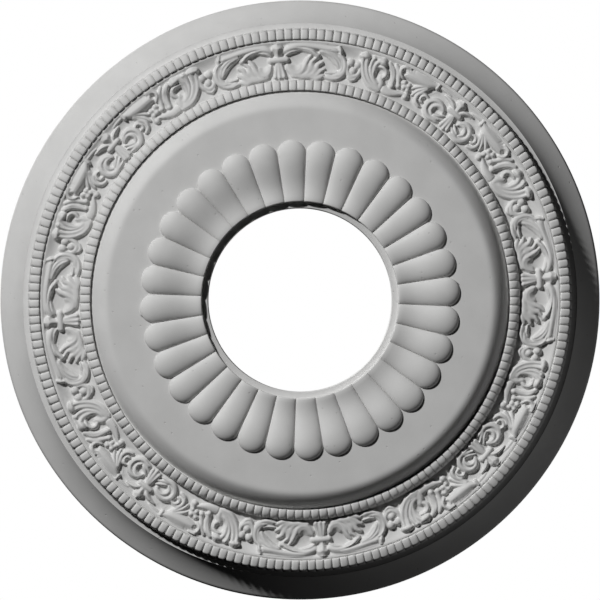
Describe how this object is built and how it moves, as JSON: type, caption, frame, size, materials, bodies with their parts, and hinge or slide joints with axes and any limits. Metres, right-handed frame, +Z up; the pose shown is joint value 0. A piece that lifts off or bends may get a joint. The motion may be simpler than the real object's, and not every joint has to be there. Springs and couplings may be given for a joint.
{
  "type": "ceiling rose",
  "caption": "Round moulded ceiling rose with a gadrooned centre, bead rings and a leaf-and-scroll frieze, open in the middle for a light's wiring.",
  "frame": {"origin": "centre of the open bore, in the plane of the flat back where the rose meets the ceiling", "axes": "+Z up along the axis of the rose into the ceiling, the ornament facing down, large fleurons of the frieze on the X and Y axes"},
  "size_m": [0.524, 0.524, 0.0527],
  "materials": {
    "primed_casting": "white factory primer, matt"
  },
  "bodies": {
    "root": {"ceiling_rose": "primed_casting"}
  },
  "joints": []
}
